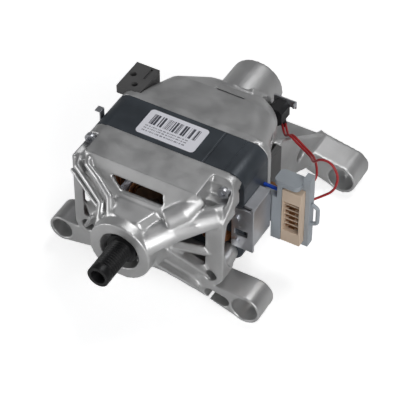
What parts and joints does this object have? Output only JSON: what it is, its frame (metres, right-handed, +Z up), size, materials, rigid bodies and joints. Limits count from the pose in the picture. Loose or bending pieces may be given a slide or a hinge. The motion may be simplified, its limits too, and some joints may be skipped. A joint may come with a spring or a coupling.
{
  "type": "washing machine motor",
  "caption": "Commutator drive motor with cast end frames, four mounting ears, a grooved belt pulley, terminal housing and speed sensor.",
  "frame": {"origin": "on the shaft axis in the front face of the belt pulley", "axes": "+Y along the shaft from the pulley to the rear, +Z up from the mounting ears to the label, +X across the motor towards the terminal housing"},
  "size_m": [0.2073, 0.26, 0.1179],
  "materials": {
    "cast_alloy": "as cast, matt",
    "core_coat": "satin coating over stacked sheet",
    "steel": "ground",
    "zinc_steel": "zinc plated",
    "black_steel": "dark, satin",
    "copper": "enamelled copper",
    "bare_copper": "bare copper, turned",
    "winding_tape": "varnished",
    "white_plastic": "moulded",
    "grey_plastic": "moulded",
    "dark_plastic": "moulded",
    "cream_plastic": "moulded",
    "resin": "moulded",
    "carbon": "matt",
    "black_rubber": "matt",
    "ferrite": "sintered",
    "red_insulation": "smooth",
    "blue_insulation": "smooth",
    "tin_brass": "tinned",
    "label_paper": "printed with plain bars"
  },
  "bodies": {
    "stator": {"front_shield": "cast_alloy", "rear_shield": "cast_alloy", "stator_core": "core_coat", "field_coil_left": "copper", "field_coil_right": "copper", "insulator_front": "white_plastic", "insulator_rear": "white_plastic", "bearing_outer_front": "steel", "bearing_outer_rear": "steel", "wave_washer": "steel", "through_screws": "zinc_steel", "brush_holder_left": "dark_plastic", "brush_holder_right": "dark_plastic", "brush_spring_left": "steel", "brush_spring_right": "steel", "brush_blades": "tin_brass", "suppressor_block": "dark_plastic", "tacho_coil": "dark_plastic", "tacho_cap": "black_rubber", "tacho_clip": "zinc_steel", "tacho_leads": "red_insulation", "terminal_housing": "grey_plastic", "terminal_cover": "grey_plastic", "connector_block": "cream_plastic", "contact_pins": "tin_brass", "lead_stub": "blue_insulation", "side_duct": "zinc_steel", "duct_screws": "zinc_steel", "label_plate": "label_paper", "earth_tab": "zinc_steel"},
    "rotor": {"rotor_shaft": "steel", "armature_core": "steel", "armature_coils": "winding_tape", "armature_winding": "copper", "commutator": "bare_copper", "commutator_hub": "resin", "drive_pulley": "black_steel", "bearing_inner_races": "steel", "bearing_balls": "steel", "tacho_magnet": "ferrite"},
    "left_brush": {"brush_left": "carbon"},
    "right_brush": {"brush_right": "carbon"}
  },
  "joints": [
    {"name": "rotor_spin", "type": "hinge", "parent": "stator", "child": "rotor", "pos_m": [0, 0, 0], "axis": [0, 1, 0], "continuous": true},
    {"name": "brush_left_slide", "type": "slide", "parent": "stator", "child": "left_brush", "axis": [-1, 0, 0], "range_m": [0, 0.008], "stiffness_N_per_m": 300, "springref_m": -0.004, "deforming": ["brush_spring_left"]},
    {"name": "brush_right_slide", "type": "slide", "parent": "stator", "child": "right_brush", "axis": [1, 0, 0], "range_m": [0, 0.008], "stiffness_N_per_m": 300, "springref_m": -0.004, "deforming": ["brush_spring_right"]}
  ]
}
